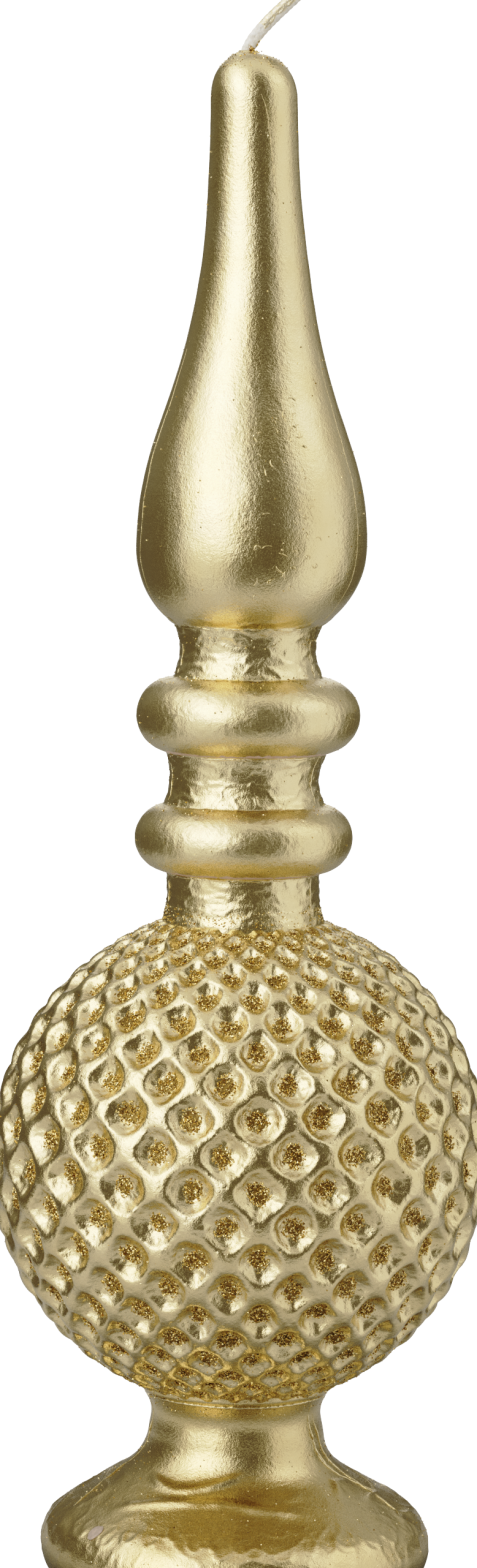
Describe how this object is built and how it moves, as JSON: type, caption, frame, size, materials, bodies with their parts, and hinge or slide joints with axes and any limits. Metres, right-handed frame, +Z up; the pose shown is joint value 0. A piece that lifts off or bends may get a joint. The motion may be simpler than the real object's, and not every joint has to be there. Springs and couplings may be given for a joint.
{
  "type": "decorative spire candle",
  "caption": "Free-standing moulded candle in gold lacquer: rounded foot, ball with a lattice of dimples, two beads and a long spire with a short braided wick.",
  "frame": {"origin": "centre of the flat base, on the surface that the candle stands on", "axes": "+Z up along the candle's axis, +X towards the side that the wick leans to, -Y towards the front"},
  "size_m": [0.0807, 0.0807, 0.2602],
  "materials": {
    "wax": "satin",
    "lacquer": "polished",
    "wick": "matte",
    "tinplate": "satin",
    "glitter": "polished"
  },
  "bodies": {
    "root": {"wax_core": "wax", "lacquer_coat": "lacquer", "wick": "wick", "wick_sustainer": "tinplate", "base_plug": "wax"}
  },
  "joints": []
}
